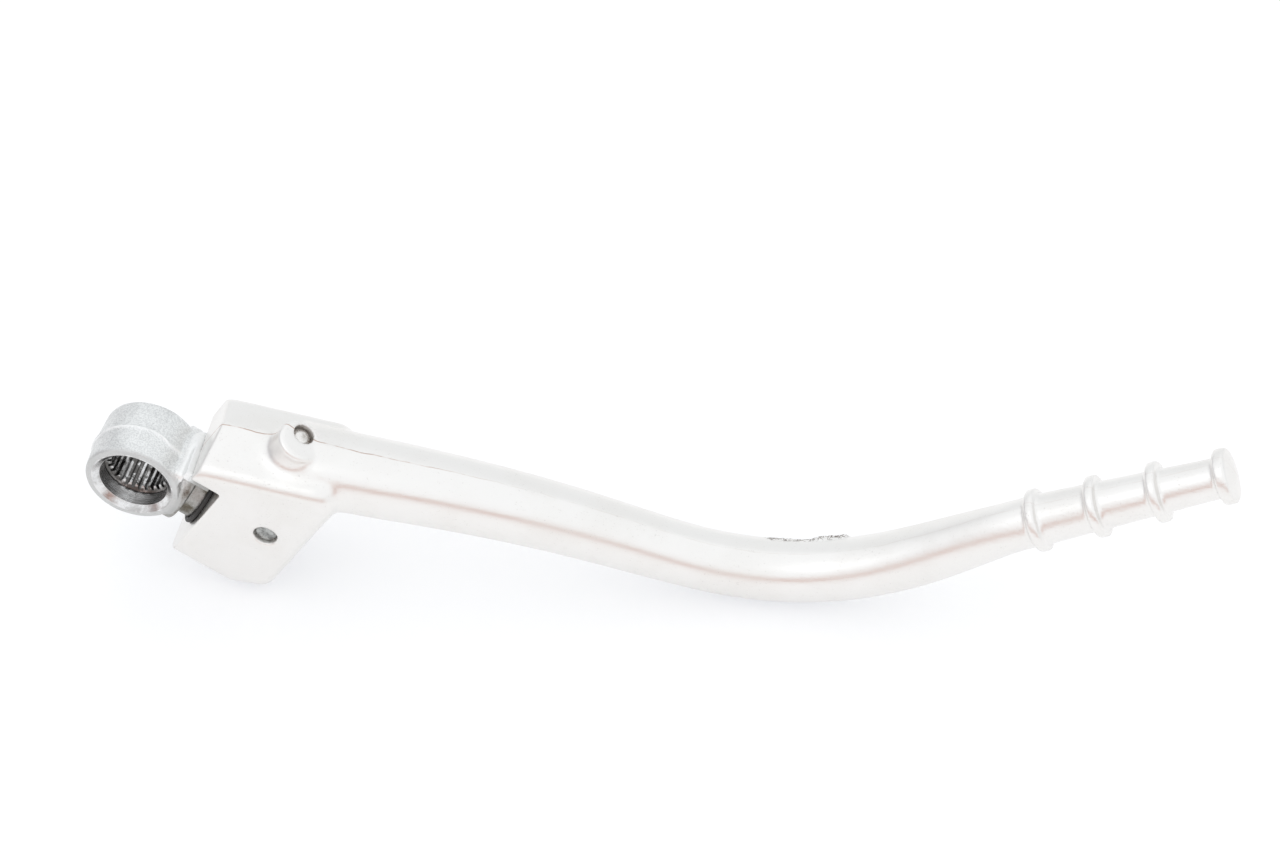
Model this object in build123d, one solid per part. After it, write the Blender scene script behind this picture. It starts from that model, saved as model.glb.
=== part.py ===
"""Folding kick start lever: splined joint piece, forged arm, and the pin, seal and detent between them.

The bore for the kick shaft runs along Y through the origin, its mouth facing -Y. The lever runs along +X.
The joint piece and the arm's head are drawn in the fold frame, (u, y, w): u along the shank, w square to it.
That frame is the model's own turned about Y by FOLD_TILT.
"""

import os
from math import cos, radians, sin, tan

from build123d import *

# Fold axis
FOLD_TILT = 32.0  # dip of the shank below the lever's long direction, degrees
FOLD_OFFSET = 2.5  # shank's axis behind the middle of the ring, along Y
FOLD_TRAVEL = 90.0  # turn of the arm about the shank, degrees

# Ring and spline of the joint piece
RING_LENGTH = 17.4
RING_RADIUS = 12.9  # at the parting line
RING_DRAFT = 3.0  # degrees, to both sides of the parting line
RING_PARTING = -1.2  # place of the parting line along Y
RING_EDGE = 0.45  # chamfer on the rim at the mouth
RING_BACK_ROUND = 1.4
FLASH_HEIGHT = 0.3
FLASH_WIDTH = 1.0
SPLINE_TEETH = 28
SPLINE_MINOR = 14.6
SPLINE_MAJOR = 16.6
SPLINE_GAP_SHARE = 0.56  # share of the pitch that is gap at the minor diameter
SPLINE_ROOT_SHARE = 0.62  # gap's width at its root against its mouth
MOUTH_DIAMETER = 20.5
COUNTERBORE_DIAMETER = 17.7
COUNTERBORE_DEPTH = 5.4
MOUTH_CHAMFER_DEPTH = 1.2
LEAD_IN = 0.7

# Neck, stop tab and shank of the joint piece
NECK_START = 4.0  # along u
NECK_END = 9.6
NECK_BACK = 8.0  # neck's back face behind the ring's middle
NECK_TOP = 11.5  # from the shank's axis
NECK_BOTTOM = 8.5
NECK_ROUND = 2.2
NECK_BACK_ROUND = 5.0
COLLAR_RADIUS = 11.7
COLLAR_START = 7.0
COLLAR_END = 13.6
COLLAR_ROUND = 0.8
STOP_HEIGHT = 12.0  # stop face, from the shank's axis
STOP_SLOPE = 13.5  # fall of the stop faces towards the back, degrees
TAB_THICKNESS = 3.2
TAB_END = 16.1
TAB_BACK = 1.0  # tab's reach past the shank's top
SHANK_RADIUS = 9.0
SHANK_END = 40.5
SHANK_CHAMFER = 1.0

# Head of the arm
HEAD_WIDTH = 27.0
HEAD_END = 10.2  # end face over the neck, along u
HUB_START = 18.5  # wall that the shank enters
HUB_LENGTH = 25.8
HUB_BOTTOM = 17.3  # below the shank's axis
REST_LENGTH = 8.0  # length along u of the slanted heel that the lever lies on
RIDGE_START = 24.5  # height w of the parting ridge over the end face
RIDGE_RISE = 26.0  # slope of the ridge against the shank, degrees
ROOF_SLOPE = 18.0  # fall of the top to both sides of the ridge, degrees
HEAD_TOP_ROUND = 3.6
HEAD_LOW_ROUND = 8.5
HEAD_SHOULDER_ROUND = 6.0  # where the roof falls to the arm
BORE_END_GAP = 0.5
STOP_GAP = 0.1
RUNNING_GAP = 0.05

# Retaining pin
PIN_RADIUS = 3.0
PIN_PLACE = 34.0  # along u
PIN_HEIGHT = 10.5  # from the shank's axis
PIN_LENGTH = 22.0
PIN_RECESS = 1.2
PIN_CHAMFER = 0.5
PIN_GAP = 0.02
GROOVE_GAP = 0.25
GROOVE_RELIEF = 0.1  # extra room in the turned part of a groove

# Detent
BOSS_PLACE = 27.8  # along u
BOSS_RADIUS = 5.9
BOSS_SHIFT = 2.2  # boss in front of the detent's bore
BOSS_TOP = 36.4
BOSS_ROUND = 0.9
DETENT_RADIUS = 2.6  # bore of the detent
DETENT_GAP = 0.1
TRACK_DEPTH = 1.2
TRACK_GAP = 0.15
SEAT_DEPTH = 0.4
PLUG_LENGTH = 6.0
PLUG_DOME = 1.1
PLUG_RECESS = 0.7
PLUG_GAP = 0.02
SPRING_WIRE = 0.7
SPRING_COILS = 9
SPRING_GAP = 0.1

# Seal
SEAL_WIRE = 1.3
SEAL_GAP = 0.05

# Arm: middle line from the head to the pedal, with width, height and squareness of its section
ARM_STATIONS = [
    ((40.0, 2.6, 5.6), 21.0, 18.6, 0.66),
    ((57.0, 3.6, 3.4), 20.6, 18.4, 0.66),
    ((75.9, 5.9, -0.4), 19.6, 17.6, 0.66),
    ((96.8, 9.4, -6.6), 18.6, 16.6, 0.65),
    ((117.6, 13.3, -14.8), 17.4, 15.8, 0.64),
    ((139.5, 16.7, -22.9), 16.4, 15.0, 0.63),
    ((159.6, 19.1, -25.6), 16.2, 15.4, 0.63),
    ((176.4, 20.4, -22.6), 16.0, 15.4, 0.62),
    ((191.5, 21.4, -16.0), 15.6, 15.2, 0.61),
    ((204.9, 22.0, -7.4), 14.6, 14.2, 0.58),
]
CIRCLE_SHARE = 0.5523
CREASE = 9.0  # slope of the section on both sides of its parting ridge, degrees
RIDGE_SHIFT = 1.4  # parting ridge in front of the middle line

# Pedal
PEDAL_START = (223.1, 22.9, 3.8)  # middle of the first rib
PEDAL_END = (266.6, 26.1, 26.6)
PEDAL_BASE_RADIUS = 6.45
PEDAL_TIP_RADIUS = 4.9
RIB_RADIUS = (7.9, 7.75, 7.55)
RIB_PLACES = (0.0, 15.4, 31.0)  # along the pedal
RIB_WIDTH = 2.6
RIB_ROUND = 0.6
FLANGE_RADIUS = 6.9
FLANGE_WIDTH = 3.0
TIP_DOME = 1.4

MOUTH_Y = -RING_LENGTH / 2
BACK_Y = RING_LENGTH / 2
HEAD_FRONT = FOLD_OFFSET - HEAD_WIDTH / 2
HEAD_BACK = FOLD_OFFSET + HEAD_WIDTH / 2
HUB_END = HUB_START + HUB_LENGTH
BALL_RADIUS = DETENT_RADIUS - DETENT_GAP
BALL_HEIGHT = SHANK_RADIUS - TRACK_DEPTH + BALL_RADIUS
PLUG_FOOT = BOSS_TOP - PLUG_RECESS - PLUG_LENGTH
SINK = 1.0  # depth that joined bodies and cutting tools run into each other
BORE_RADIUS = SHANK_RADIUS + RUNNING_GAP
FOLD_FRAME = Rot(0, FOLD_TILT, 0)
AXIS_U = Axis((0, FOLD_OFFSET, 0), (1, 0, 0))


def across(u, slope=0.0):
    """Plane square to the shank at u: its x is y of the fold frame, its y is w, both turned by the slope."""
    level = (0, cos(radians(slope)), -sin(radians(slope)))
    return Plane(origin=(u, FOLD_OFFSET, 0), x_dir=level, z_dir=(1, 0, 0))


def side(y):
    """Plane of the lever's side at y: its x is u, its y is w, and it faces the mouth."""
    return Plane(origin=(0, y, 0), x_dir=(1, 0, 0), z_dir=(0, -1, 0))


def polygon(plane, points):
    return plane * make_face(Polyline(*points, close=True))


def rod_u(radius, start, end):
    """Cylinder about the shank's axis between two places along u."""
    return extrude(across(start) * Circle(radius), end - start)


def ring_body():
    taper = tan(radians(RING_DRAFT))
    front = RING_RADIUS - taper * (RING_PARTING - MOUTH_Y)
    back = RING_RADIUS - taper * (BACK_Y - RING_PARTING)
    flash = FLASH_WIDTH / 2
    profile = make_face(
        Polyline(
            (0, MOUTH_Y),
            (front - RING_EDGE, MOUTH_Y),
            (front, MOUTH_Y + RING_EDGE),
            (RING_RADIUS, RING_PARTING - flash),
            (RING_RADIUS + FLASH_HEIGHT, RING_PARTING - flash / 2),
            (RING_RADIUS + FLASH_HEIGHT, RING_PARTING + flash / 2),
            (RING_RADIUS, RING_PARTING + flash),
            (back, BACK_Y),
            (0, BACK_Y),
            close=True,
        )
    )
    corner = profile.vertices().sort_by(Axis.Y)[-2:].sort_by(Axis.X)[-1]
    profile = fillet(corner, RING_BACK_ROUND)
    return revolve(profile, Axis.Y)


def spline_bore():
    """Tool for the bore: chamfered mouth, counterbore, lead-in and the toothed length."""
    shoulder = MOUTH_Y + COUNTERBORE_DEPTH
    minor = SPLINE_MINOR / 2
    turned = make_face(
        Polyline(
            (0, MOUTH_Y - SINK),
            (MOUTH_DIAMETER / 2, MOUTH_Y - SINK),
            (MOUTH_DIAMETER / 2, MOUTH_Y),
            (COUNTERBORE_DIAMETER / 2, MOUTH_Y + MOUTH_CHAMFER_DEPTH),
            (COUNTERBORE_DIAMETER / 2, shoulder),
            (minor, shoulder + LEAD_IN),
            (minor, BACK_Y - LEAD_IN),
            (SPLINE_MAJOR / 2 + LEAD_IN / 2, BACK_Y),
            (SPLINE_MAJOR / 2 + LEAD_IN / 2, BACK_Y + SINK),
            (0, BACK_Y + SINK),
            close=True,
        )
    )
    pitch = 360 / SPLINE_TEETH
    wide = SPLINE_MAJOR / 2 * radians(pitch) * SPLINE_GAP_SHARE / 2
    narrow = wide * SPLINE_ROOT_SHARE
    gap = make_face(
        Polyline(
            (minor - SINK, -wide),
            (minor, -wide),
            (SPLINE_MAJOR / 2, -narrow),
            (SPLINE_MAJOR / 2, narrow),
            (minor, wide),
            (minor - SINK, wide),
            close=True,
        )
    )
    start = Plane(origin=(0, shoulder, 0), x_dir=(1, 0, 0), z_dir=(0, 1, 0))
    gaps = [start * (Rot(0, 0, i * pitch) * gap) for i in range(SPLINE_TEETH)]
    return revolve(turned, Axis.Y) + [extrude(g, BACK_Y + SINK - shoulder) for g in gaps]


def neck():
    """Block from the ring to the shank, and the round collar at its end."""
    front = MOUTH_Y - FOLD_OFFSET
    back = NECK_BACK - FOLD_OFFSET
    outline = [(front, -NECK_BOTTOM), (back, -NECK_BOTTOM), (back, NECK_TOP), (front, NECK_TOP)]
    block = extrude(polygon(across(NECK_START), outline), NECK_END - NECK_START)
    upper = block.edges().filter_by(Axis.X).sort_by(Axis.Z)[2:]
    block = fillet(upper.sort_by(Axis.Y)[-1], NECK_BACK_ROUND)
    front = block.faces().sort_by(Axis.Y)[0].edges().filter_by(Axis.X)
    block = fillet(front, NECK_ROUND)
    collar = rod_u(COLLAR_RADIUS, COLLAR_START, COLLAR_END)
    return block + fillet(collar.edges().sort_by(Axis.X)[-1], COLLAR_ROUND)


def stop_tab():
    """Plate beside the shank that meets the arm's roof; its front is flush with the ring's mouth."""
    slope = radians(STOP_SLOPE)
    foot = STOP_HEIGHT - TAB_THICKNESS
    front = MOUTH_Y - FOLD_OFFSET
    outline = [
        ((front + foot * -sin(slope)) / cos(slope), foot),
        (TAB_BACK, foot),
        (TAB_BACK, STOP_HEIGHT),
        ((front + STOP_HEIGHT * -sin(slope)) / cos(slope), STOP_HEIGHT),
    ]
    return extrude(polygon(across(NECK_END - SINK, STOP_SLOPE), outline), TAB_END - NECK_END + SINK)


def turned(shape, angle):
    """The shape turned about the shank the way the arm folds."""
    return shape.rotate(AXIS_U, -angle)


def swept_circle(place, height, radius):
    """Ring-shaped groove that a circle cuts in the shank over the arm's travel."""
    circle = side(FOLD_OFFSET) * Pos(place, height) * Circle(radius)
    return revolve(circle, AXIS_U, -FOLD_TRAVEL)


def pin_rod(radius, start, end):
    """Cylinder along Y at the pin's place, between two places along Y."""
    return extrude(side(end) * Pos(PIN_PLACE, PIN_HEIGHT) * Circle(radius), end - start)


def pin_groove(shank):
    """Cuts the room that the pin needs: it stops the arm at both ends of its travel."""
    radius = PIN_RADIUS + GROOVE_GAP
    slot = pin_rod(radius, FOLD_OFFSET - 2 * SHANK_RADIUS, FOLD_OFFSET + 2 * SHANK_RADIUS)
    shank = shank - slot - turned(slot, FOLD_TRAVEL)
    return shank - swept_circle(PIN_PLACE, PIN_HEIGHT, radius + GROOVE_RELIEF)


def ball_track(shank):
    """Cuts the ball's track, with a drilled seat at each end."""
    radius = BALL_RADIUS + TRACK_GAP
    floor = SHANK_RADIUS - TRACK_DEPTH - SEAT_DEPTH
    seat = extrude(Plane((BOSS_PLACE, FOLD_OFFSET, floor)) * Circle(radius + GROOVE_RELIEF), SHANK_RADIUS)
    return shank - swept_circle(BOSS_PLACE, BALL_HEIGHT, radius) - seat - turned(seat, FOLD_TRAVEL)


def joint_piece():
    shank = rod_u(SHANK_RADIUS, NECK_END - SINK, SHANK_END)
    shank = chamfer(shank.edges().sort_by(Axis.X)[-1], SHANK_CHAMFER)
    shank = ball_track(pin_groove(shank))
    return ring_body() + neck() + stop_tab() + shank - spline_bore()


def long_edges(block, low):
    """Edges of the block's two flat sides that run along it, on its underside or along its top."""
    flats = block.faces().sort_by(Axis.Y)
    edges = flats[0].edges() + flats[-1].edges()
    edges = [e for e in edges if abs(e.tangent_at(0.5).X) > abs(e.tangent_at(0.5).Z)]
    return [e for e in edges if (e.center().Z < 0) == low]


def head():
    """Hub and roof of the arm in the fold frame, before its bores are cut."""
    rise = radians(RIDGE_RISE)
    fall = radians(ROOF_SLOPE)
    heel = REST_LENGTH * tan(radians(FOLD_TILT))
    outline = [
        (HEAD_END, 0),
        (HUB_START, 0),
        (HUB_START, -HUB_BOTTOM),
        (HUB_END - REST_LENGTH, -HUB_BOTTOM),
        (HUB_END, heel - HUB_BOTTOM),
        (HUB_END, RIDGE_START + tan(rise) * (HUB_END - HEAD_END)),
        (HEAD_END, RIDGE_START),
    ]
    block = extrude(polygon(side(HEAD_BACK), outline), HEAD_WIDTH)
    for hand in (-1, 1):
        normal = (-sin(rise) * cos(fall), hand * sin(fall), cos(rise) * cos(fall))
        ridge = (HEAD_END, FOLD_OFFSET, RIDGE_START)
        slope = Plane(origin=ridge, x_dir=(cos(rise), 0, sin(rise)), z_dir=normal)
        block = block - extrude(slope * Rectangle(10 * HEAD_WIDTH, 10 * HEAD_WIDTH), 2 * HEAD_WIDTH)
    shoulder = block.faces().sort_by(Axis.X)[-1].edges().sort_by(Axis.Z)[-2:]
    block = fillet(shoulder, HEAD_SHOULDER_ROUND)
    block = fillet(long_edges(block, low=True), HEAD_LOW_ROUND)
    block = fillet(long_edges(block, low=False), HEAD_TOP_ROUND)
    foot = Plane((BOSS_PLACE, FOLD_OFFSET - BOSS_SHIFT, BORE_RADIUS))
    boss = extrude(foot * Circle(BOSS_RADIUS), BOSS_TOP - BORE_RADIUS)
    boss = fillet(boss.edges().sort_by(Axis.Z)[-1], BOSS_ROUND)
    return block + boss


def head_cuts():
    """Tools for the head: shank's bore, open end over the neck, pin's hole and detent's bore."""
    bore = rod_u(BORE_RADIUS, HUB_START - SINK, SHANK_END + BORE_END_GAP)
    ceiling = STOP_HEIGHT + STOP_GAP
    span = 2 * HEAD_WIDTH
    opening = polygon(
        across(0, STOP_SLOPE),
        [(-span, -span), (span, -span), (span, ceiling), (-span, ceiling)],
    )
    opening = extrude(opening, HUB_START)
    hole = pin_rod(PIN_RADIUS + PIN_GAP, HEAD_FRONT - SINK, HEAD_FRONT + PIN_RECESS + PIN_LENGTH + PIN_GAP)
    well = extrude(Plane((BOSS_PLACE, FOLD_OFFSET, 0)) * Circle(DETENT_RADIUS), BOSS_TOP + SINK)
    return [bore, opening, hole, well]


def section(plane, width, height, squareness, crease=0.0, shift=0.0):
    """Closed outline of the arm, of four curves that meet on its parting ridges and at its sides."""
    top, side_x = height / 2, width / 2
    fall = tan(radians(crease))
    curves = []
    for x_hand, y_hand in ((1, 1), (1, -1), (-1, -1), (-1, 1)):
        ridge = (-shift, y_hand * top)
        reach = squareness * (side_x + x_hand * shift)
        near_ridge = (x_hand * reach - shift, y_hand * (top - reach * fall))
        near_side = (x_hand * side_x, y_hand * squareness * top)
        flank = (x_hand * side_x, 0)
        points = [ridge, near_ridge, near_side, flank]
        if x_hand != y_hand:
            points.reverse()
        curves.append(Bezier(*points))
    return plane * make_face(Wire(curves))


def square_to(path, place):
    """Plane across the path at a place on it, its x level and pointing to the back."""
    along = path.tangent_at(path.param_at_point(place))
    return Plane(origin=place, x_dir=Vector(0, 0, 1).cross(along), z_dir=along)


def arm():
    places = [Vector(*station[0]) for station in ARM_STATIONS]
    start, end = Vector(*PEDAL_START), Vector(*PEDAL_END)
    path = Spline(*places, start, tangents=[places[1] - places[0], end - start])
    faces = [
        section(square_to(path, place), width, height, squareness, CREASE, RIDGE_SHIFT)
        for place, (_, width, height, squareness) in zip(places, ARM_STATIONS)
    ]
    last = Plane(origin=start, x_dir=Vector(0, 0, 1).cross(end - start), z_dir=end - start)
    faces.append(section(last, 2 * PEDAL_BASE_RADIUS, 2 * PEDAL_BASE_RADIUS, CIRCLE_SHARE))
    return loft(faces)


def pedal():
    """Round tapering pedal with its ribs and end flange, turned about its own axis."""
    start, end = Vector(*PEDAL_START), Vector(*PEDAL_END)
    length = (end - start).length

    def taper(z):
        return PEDAL_BASE_RADIUS + (PEDAL_TIP_RADIUS - PEDAL_BASE_RADIUS) * z / length

    points = [(0, -RIB_WIDTH / 2)]
    for place, radius in zip(RIB_PLACES, RIB_RADIUS):
        low, high = place - RIB_WIDTH / 2, place + RIB_WIDTH / 2
        root = [(taper(low), low)] if place else []
        points += root + [(radius, low), (radius, high), (taper(high), high)]
    flange = length - FLANGE_WIDTH
    points += [(taper(flange), flange), (FLANGE_RADIUS, flange)]
    points += [(FLANGE_RADIUS, length), (0, length + TIP_DOME)]
    profile = make_face(Polyline(*points, close=True))
    corners = [v for v in profile.vertices() if v.X > 0]
    profile = fillet(corners, RIB_ROUND)
    axis = Plane(origin=start, x_dir=(0, 1, 0), z_dir=end - start)
    return axis * revolve(Plane.XZ * profile, Axis.Z)


def kick_arm():
    body = FOLD_FRAME * head() + arm() + pedal()
    for tool in head_cuts():
        body = body - FOLD_FRAME * tool
    return body


def retaining_pin():
    start = HEAD_FRONT + PIN_RECESS
    pin = pin_rod(PIN_RADIUS, start, start + PIN_LENGTH)
    return chamfer(pin.edges().filter_by(GeomType.CIRCLE), PIN_CHAMFER)


def detent_ball():
    return Pos(BOSS_PLACE, FOLD_OFFSET, BALL_HEIGHT) * Sphere(BALL_RADIUS)


def detent_plug():
    """Headless plug with a domed outer end."""
    radius = DETENT_RADIUS - PLUG_GAP
    top = BOSS_TOP - PLUG_RECESS
    outline = make_face(
        [
            Line((0, PLUG_FOOT), (radius, PLUG_FOOT)),
            Line((radius, PLUG_FOOT), (radius, top - PLUG_DOME)),
            RadiusArc((radius, top - PLUG_DOME), (0, top), -(radius**2 + PLUG_DOME**2) / (2 * PLUG_DOME)),
            Line((0, top), (0, PLUG_FOOT)),
        ]
    )
    return Pos(BOSS_PLACE, FOLD_OFFSET, 0) * revolve(Plane.XZ * outline, Axis.Z)


def detent_spring():
    """Coil spring between the ball and the plug."""
    wire = SPRING_WIRE / 2
    foot = BALL_HEIGHT + BALL_RADIUS + SPRING_GAP + wire
    height = PLUG_FOOT - SPRING_GAP - wire - foot
    mean = DETENT_RADIUS - DETENT_GAP - wire
    path = Helix(height / SPRING_COILS, height, mean)
    wire_plane = Plane(origin=path @ 0, z_dir=path % 0)
    return Pos(BOSS_PLACE, FOLD_OFFSET, foot) * sweep(wire_plane * Circle(wire), path)


def shank_seal():
    radius = SEAL_WIRE / 2
    place = HUB_START - radius - SEAL_GAP
    circle = side(FOLD_OFFSET) * Pos(place, SHANK_RADIUS + SEAL_GAP + radius) * Circle(radius)
    return revolve(circle, AXIS_U)


def main():
    os.makedirs("parts", exist_ok=True)
    folded = {
        "joint_piece": joint_piece,
        "retaining_pin": retaining_pin,
        "detent_ball": detent_ball,
        "detent_plug": detent_plug,
        "detent_spring": detent_spring,
        "shank_seal": shank_seal,
    }
    export_step(kick_arm(), "parts/kick_arm.step")
    for name, build in folded.items():
        export_step(FOLD_FRAME * build(), f"parts/{name}.step")


main()
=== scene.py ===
"""Dresses the folding kick start lever and sets it on a pale studio floor.

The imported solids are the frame. The arm and the joint piece get forged skins of their own, made from copies
of their solids; the small steel parts and the seal keep their solids and get finishes.
"""

import logging
import math
from dataclasses import dataclass, field
from enum import Enum

import bpy
import numpy as np
from mathutils import Matrix, Vector


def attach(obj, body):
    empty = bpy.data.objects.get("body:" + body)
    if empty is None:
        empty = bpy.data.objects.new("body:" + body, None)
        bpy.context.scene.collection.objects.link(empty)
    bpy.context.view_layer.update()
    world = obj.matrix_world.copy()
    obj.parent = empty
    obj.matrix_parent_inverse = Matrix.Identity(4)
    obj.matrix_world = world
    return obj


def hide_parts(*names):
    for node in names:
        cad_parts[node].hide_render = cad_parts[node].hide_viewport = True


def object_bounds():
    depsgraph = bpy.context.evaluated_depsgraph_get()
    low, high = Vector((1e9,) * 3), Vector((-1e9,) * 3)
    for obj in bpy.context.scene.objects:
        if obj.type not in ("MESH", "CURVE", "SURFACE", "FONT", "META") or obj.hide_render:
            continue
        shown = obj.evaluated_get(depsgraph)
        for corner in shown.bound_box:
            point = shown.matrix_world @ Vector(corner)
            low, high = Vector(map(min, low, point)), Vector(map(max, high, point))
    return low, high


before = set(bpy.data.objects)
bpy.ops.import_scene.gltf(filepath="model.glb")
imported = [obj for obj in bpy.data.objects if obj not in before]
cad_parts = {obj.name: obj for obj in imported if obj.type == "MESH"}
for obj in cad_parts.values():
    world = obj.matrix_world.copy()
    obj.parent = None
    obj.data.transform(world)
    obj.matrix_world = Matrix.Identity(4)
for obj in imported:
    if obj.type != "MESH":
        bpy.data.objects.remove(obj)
CAD_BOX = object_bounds()

LOG = logging.getLogger("kick_lever")
MM = 0.001
MERGE_DISTANCE = 0.002  # mm, between corners of loose triangles that are one corner
WEIGHT_STEPS = 20  # levels of the weights in a vertex group
SMOOTH_FACTOR = 0.5  # how far a smoothing pass takes a vertex towards its neighbours' middle
FALLING = (1.0, 0.0)  # ends of a step that goes down

Colour = tuple[float, float, float]
Place = tuple[float, float, float]
Span = tuple[float, float]
Piece = bpy.types.Object
Socket = bpy.types.NodeSocket


class Body(Enum):
    """Rigid bodies of the lever."""

    SHAFT_JOINT = "shaft_joint"
    LEVER = "lever"


class Node(Enum):
    """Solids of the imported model."""

    JOINT_PIECE = "joint_piece"
    SHANK_SEAL = "shank_seal"
    KICK_ARM = "kick_arm"
    RETAINING_PIN = "retaining_pin"
    DETENT_PLUG = "detent_plug"
    DETENT_SPRING = "detent_spring"
    DETENT_BALL = "detent_ball"


@dataclass(frozen=True)
class FoldFrame:
    """Frame of the shank, (u, y, w), in millimetres: u along the shank, w square to it."""

    tilt: float = 32.0
    offset: float = 2.5

    def coordinates(self, points: np.ndarray) -> tuple[np.ndarray, np.ndarray, np.ndarray]:
        """Places of points along the frame's axes.

        Args:
            points: rows of x, y and z in millimetres.

        Returns:
            Arrays of u, of y from the shank's axis, and of w.
        """
        turn = math.radians(self.tilt)
        u = points[:, 0] * math.cos(turn) - points[:, 2] * math.sin(turn)
        w = points[:, 0] * math.sin(turn) + points[:, 2] * math.cos(turn)
        return u, points[:, 1] - self.offset, w


def rise(values: np.ndarray, low: float, high: float) -> np.ndarray:
    """Smooth step from 0 at low to 1 at high.

    Args:
        values: the numbers to step.
        low: where the step starts.
        high: where it ends.

    Returns:
        Numbers from 0 to 1.
    """
    share = np.clip((values - low) / (high - low), 0.0, 1.0)
    return share * share * (3.0 - 2.0 * share)


def fall(values: np.ndarray, low: float, high: float) -> np.ndarray:
    """Smooth step from 1 at low to 0 at high.

    Args:
        values: the numbers to step.
        low: where the step starts.
        high: where it ends.

    Returns:
        Numbers from 0 to 1.
    """
    return rise(-values, -high, -low)


def take(piece: Piece) -> None:
    """Makes a piece the only selected object and the active one.

    Args:
        piece: the piece to select.
    """
    bpy.ops.object.select_all(action="DESELECT")
    piece.select_set(True)
    bpy.context.view_layer.objects.active = piece


def merged_copy(node: Node, name: str) -> Piece:
    """Copies a solid's mesh into a piece of its own and joins its loose triangles.

    Args:
        node: the solid to copy.
        name: name of the new piece.

    Returns:
        The new piece, selected and active.
    """
    piece = bpy.data.objects.new(name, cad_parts[node.value].data.copy())
    piece.data.name = name
    piece.data.materials.clear()
    bpy.context.scene.collection.objects.link(piece)
    take(piece)
    bpy.ops.object.mode_set(mode="EDIT")
    bpy.ops.mesh.select_all(action="SELECT")
    bpy.ops.mesh.customdata_custom_splitnormals_clear()
    bpy.ops.mesh.remove_doubles(threshold=MERGE_DISTANCE * MM)
    bpy.ops.object.mode_set(mode="OBJECT")
    return piece


def apply_modifier(piece: Piece, kind: str, **settings: object) -> None:
    """Adds a modifier to the active piece, sets it and applies it.

    Args:
        piece: the active piece.
        kind: Blender's name of the modifier's type.
        settings: the modifier's properties.
    """
    bpy.ops.object.modifier_add(type=kind)
    modifier = piece.modifiers[-1]
    for key, value in settings.items():
        setattr(modifier, key, value)
    bpy.ops.object.modifier_apply(modifier=modifier.name)


def remesh(piece: Piece, voxel: float) -> None:
    """Gives the active piece an even mesh, with voxels of a size in millimetres."""
    apply_modifier(piece, "REMESH", mode="VOXEL", voxel_size=voxel * MM, use_smooth_shade=True)


def points_of(piece: Piece) -> np.ndarray:
    """Vertices of a piece.

    Args:
        piece: the piece.

    Returns:
        Rows of x, y and z in millimetres.
    """
    flat = np.empty(len(piece.data.vertices) * 3, dtype=np.float32)
    piece.data.vertices.foreach_get("co", flat)
    return flat.reshape(-1, 3).astype(float) / MM


def weigh(piece: Piece, name: str, weights: np.ndarray) -> str:
    """Gives a piece a vertex group.

    Args:
        piece: the piece.
        name: the group's name.
        weights: one weight from 0 to 1 for each vertex.

    Returns:
        The group's name.
    """
    group = piece.vertex_groups.new(name=name)
    steps = np.round(np.clip(weights, 0.0, 1.0) * WEIGHT_STEPS).astype(int)
    for step in range(1, WEIGHT_STEPS + 1):
        members = np.nonzero(steps == step)[0].tolist()
        if members:
            group.add(members, step / WEIGHT_STEPS, "REPLACE")
    return group.name


def smooth(piece: Piece, name: str, weights: np.ndarray, passes: int) -> None:
    """Smooths a part of the active piece.

    Args:
        piece: the active piece.
        name: name of the part.
        weights: how much each vertex takes part, from 0 to 1.
        passes: number of smoothing passes.
    """
    group = weigh(piece, name, weights)
    apply_modifier(piece, "SMOOTH", factor=SMOOTH_FACTOR, iterations=passes, vertex_group=group)


def swell(piece: Piece, name: str, weights: np.ndarray, height: float, **texture: object) -> None:
    """Moves a part of the active piece along its normals.

    Args:
        piece: the active piece.
        name: name of the part.
        weights: how much each vertex takes part, from 0 to 1.
        height: distance in millimetres, below 0 to sink it.
        texture: settings of a texture that the distance follows.
    """
    settings = {"mid_level": 0.0, **texture}
    group = weigh(piece, name, weights)
    apply_modifier(piece, "DISPLACE", strength=height * MM, vertex_group=group, **settings)


def keep_field(piece: Piece, name: str, values: np.ndarray) -> None:
    """Stores one number for each vertex, for a material to read."""
    store = piece.data.attributes.new(name=name, type="FLOAT", domain="POINT")
    store.data.foreach_set("value", values.astype(np.float32))


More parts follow.
